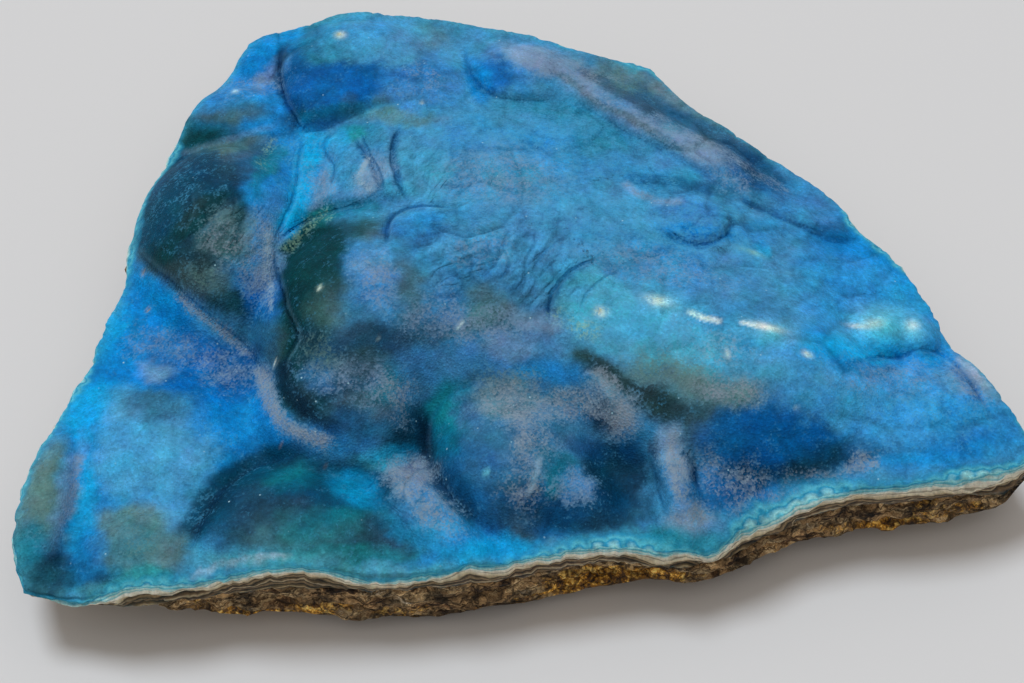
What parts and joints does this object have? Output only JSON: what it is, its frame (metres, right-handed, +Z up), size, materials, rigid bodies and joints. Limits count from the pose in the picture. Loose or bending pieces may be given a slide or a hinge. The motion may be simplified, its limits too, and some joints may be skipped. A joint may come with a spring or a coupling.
{
  "type": "raw hemimorphite",
  "caption": "Rough mineral specimen: a blue, lumpy hemimorphite crust of rounded lobes on a thin slab of brown layered rock, with one broken edge. It lies flat.",
  "frame": {"origin": "the middle of the specimen's outline, on the surface that it lies on", "axes": "+X along the broken front edge to the right, +Y to the back, +Z up out of the blue crust"},
  "size_m": [0.1494, 0.1178, 0.0273],
  "materials": {
    "blue_hemimorphite": "waxy to glassy blue crust with a fine crystal frost, a little translucent at thin edges",
    "brown_matrix": "dull dark brown layered rock with rusty golden patches"
  },
  "bodies": {
    "root": {"hemimorphite_crust": "blue_hemimorphite", "matrix_rock": "brown_matrix"}
  },
  "joints": []
}
